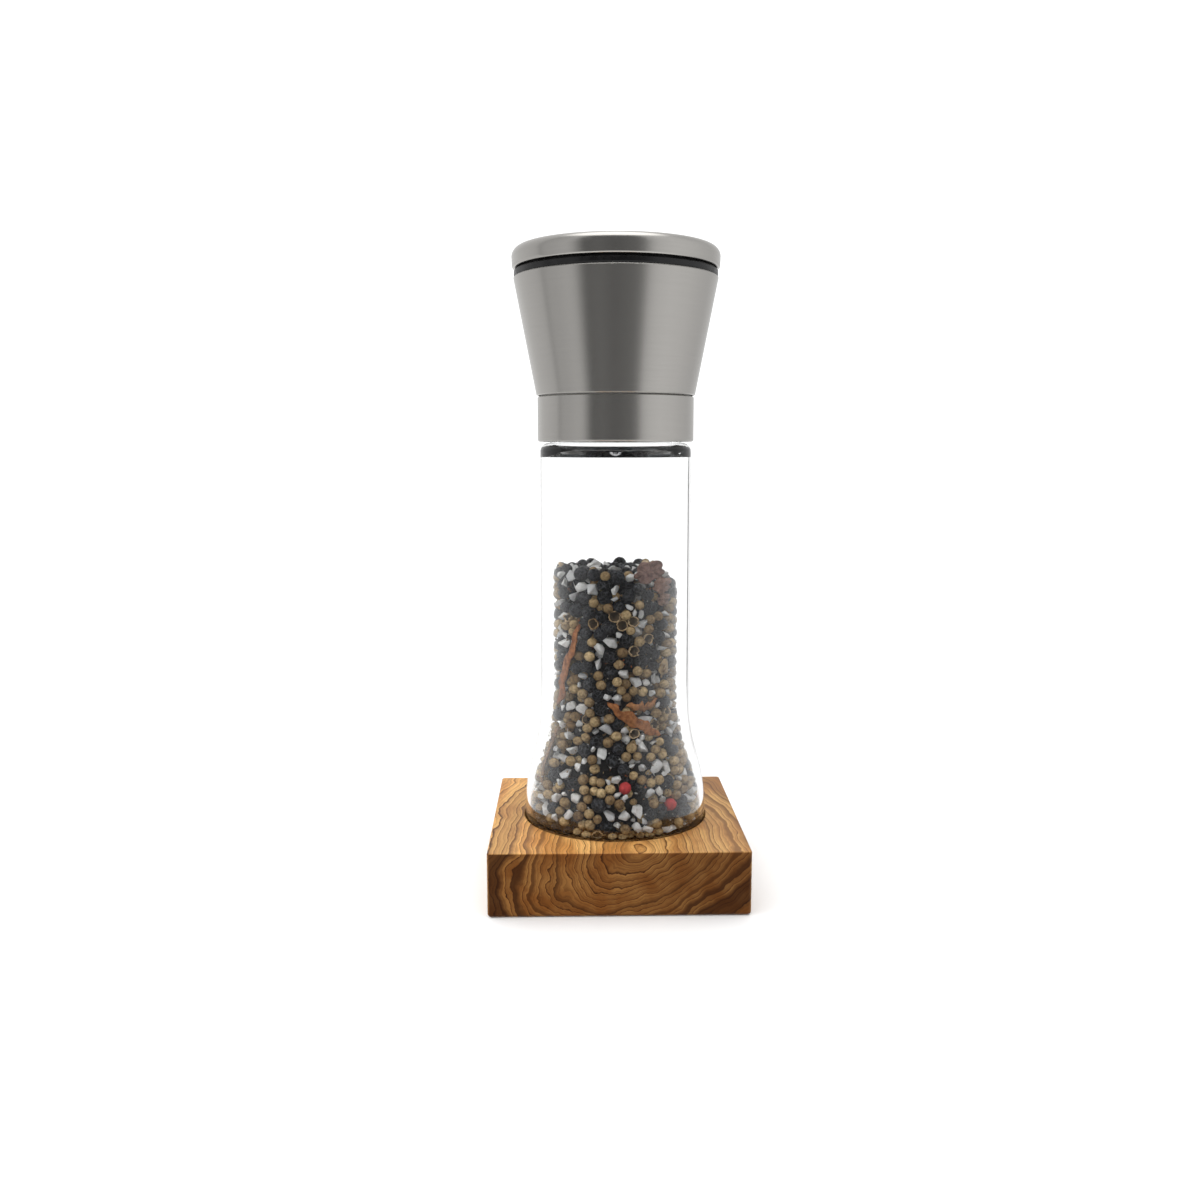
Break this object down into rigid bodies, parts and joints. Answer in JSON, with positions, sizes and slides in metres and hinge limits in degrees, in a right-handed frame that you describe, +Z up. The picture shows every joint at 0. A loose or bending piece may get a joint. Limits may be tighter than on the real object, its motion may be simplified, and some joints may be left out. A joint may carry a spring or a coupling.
{
  "type": "pepper mill",
  "caption": "Table pepper mill with a flared glass jar, screw collar, turning steel head, ceramic burrs and pull-off lid, standing in a square olive wood base.",
  "frame": {"origin": "centre of the base's underside, on the mill's axis", "axes": "+Z up along the mill's axis; +X and +Y along the base's sides, with the front face towards -Y"},
  "size_m": [0.08, 0.08, 0.2025],
  "materials": {
    "olive_wood": "oiled, close grain",
    "jar_glass": "clear, polished",
    "spice": "dry, mixed peppercorns, salt and seeds",
    "brushed_steel": "brushed round the axis",
    "hardware_steel": "bright",
    "black_plastic": "fine matte",
    "grey_plastic": "fine matte",
    "white_plastic": "smooth",
    "silicone": "matte",
    "seal_rubber": "matte",
    "burr_ceramic": "unglazed, sharp teeth",
    "brass": "turned"
  },
  "bodies": {
    "base": {"olive_wood_base": "olive_wood"},
    "jar": {"glass_jar": "jar_glass", "spice_fill": "spice"},
    "gasket": {"neck_gasket": "silicone"},
    "collar": {"collar_sleeve": "brushed_steel", "thread_ring": "black_plastic", "drive_bridge": "black_plastic", "drive_shaft": "hardware_steel", "shaft_washer": "hardware_steel", "shaft_screw": "hardware_steel", "retaining_clip": "hardware_steel", "swivel_washer": "white_plastic", "burr_spring": "hardware_steel"},
    "head": {"head_sleeve": "brushed_steel", "head_housing": "black_plastic", "outer_burr": "burr_ceramic", "burr_retainer": "black_plastic", "retainer_screws": "hardware_steel"},
    "rotor": {"inner_burr": "burr_ceramic", "burr_hub": "grey_plastic", "thrust_washer": "hardware_steel"},
    "adjuster": {"adjuster_knob": "grey_plastic", "adjuster_nut": "brass"},
    "lid": {"lid_shell": "brushed_steel", "lid_liner": "black_plastic", "lid_seal": "seal_rubber"}
  },
  "joints": [
    {"name": "mill_lift", "type": "slide", "parent": "base", "child": "jar", "axis": [0, 0, 1], "range_m": [0, 0.05]},
    {"name": "collar_rise", "type": "slide", "parent": "jar", "child": "gasket", "axis": [0, 0, 1], "range_m": [0, 0.006]},
    {"name": "head_unscrew", "type": "hinge", "parent": "gasket", "child": "collar", "pos_m": [0, 0, 0.15], "axis": [0, 0, 1], "range_deg": [0, 540]},
    {"name": "grind_turn", "type": "hinge", "parent": "collar", "child": "head", "pos_m": [0, 0, 0.175], "axis": [0, 0, 1], "continuous": true},
    {"name": "burr_gap", "type": "slide", "parent": "collar", "child": "rotor", "axis": [0, 0, 1], "range_m": [0, 0.0015], "deforming": ["burr_spring"]},
    {"name": "adjuster_turn", "type": "hinge", "parent": "rotor", "child": "adjuster", "pos_m": [0, 0, 0.193], "axis": [0, 0, 1], "range_deg": [0, 540.1]},
    {"name": "lid_lift", "type": "slide", "parent": "head", "child": "lid", "axis": [0, 0, 1], "range_m": [0, 0.03]}
  ],
  "couplings": [
    {"joint": "collar_rise", "follows": "head_unscrew", "m_per_rad": 0.00063662},
    {"joint": "adjuster_turn", "follows": "burr_gap", "rad_per_m": 6283.2}
  ]
}
